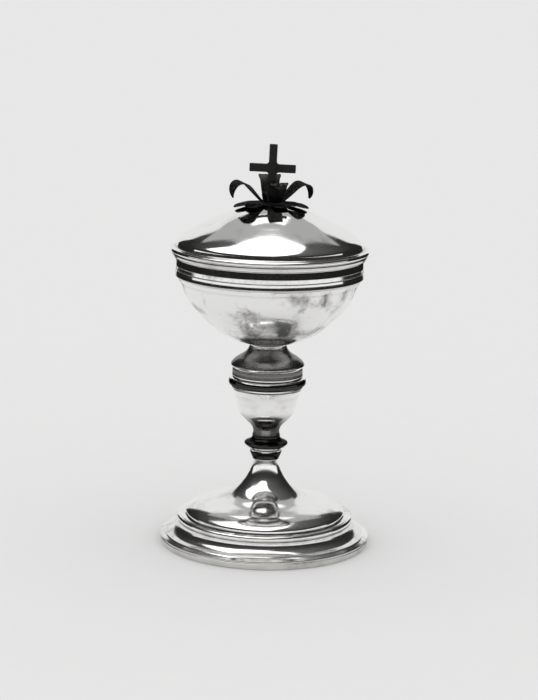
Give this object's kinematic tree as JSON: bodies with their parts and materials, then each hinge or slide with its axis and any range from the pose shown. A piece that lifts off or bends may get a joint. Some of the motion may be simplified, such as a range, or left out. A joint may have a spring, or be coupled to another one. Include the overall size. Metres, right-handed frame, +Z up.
{
  "type": "ciborium vessel",
  "caption": "Lidded ciborium: round stepped foot, knopped stem held by a tie rod, wide bowl, and a lift-off domed lid with leaf finial and cross.",
  "frame": {"origin": "centre of the foot, on the plane it stands on", "axes": "+Z up along the stem; +X to the right and -Y to the front, with the cross facing front"},
  "size_m": [0.1256, 0.1256, 0.24],
  "materials": {
    "polished_silver": "polished silver plate with fine wear and tarnish in the recesses",
    "tarnished_silver": "tarnished, nearly black silver",
    "silver_gilt": "gilded silver, satin",
    "turned_steel": "turned steel, dull"
  },
  "bodies": {
    "vessel": {"foot_rim_ring": "polished_silver", "foot_base": "polished_silver", "foot_dome": "polished_silver", "foot_seat_plate": "polished_silver", "rod_washer": "turned_steel", "rod_nut": "turned_steel", "tie_rod": "turned_steel", "stem_ferrule": "tarnished_silver", "stem_ring": "polished_silver", "lower_collar": "tarnished_silver", "knop_vase": "polished_silver", "knop_ring": "tarnished_silver", "knop_band": "polished_silver", "knop_cap": "polished_silver", "bowl_boss": "polished_silver", "bowl": "polished_silver", "bowl_moulding_lower": "polished_silver", "bowl_moulding_upper": "polished_silver"},
    "lid": {"lid_rim_moulding": "polished_silver", "lid_bezel": "silver_gilt", "lid_dome": "polished_silver", "finial_rosette": "tarnished_silver", "finial_leaves": "tarnished_silver", "finial_bud": "tarnished_silver", "cross": "tarnished_silver", "finial_stud": "turned_steel", "finial_washer": "turned_steel", "finial_nut": "turned_steel"}
  },
  "joints": [
    {"name": "lid_lift", "type": "slide", "parent": "vessel", "child": "lid", "axis": [0, 0, 1], "range_m": [0, 0.08]}
  ]
}
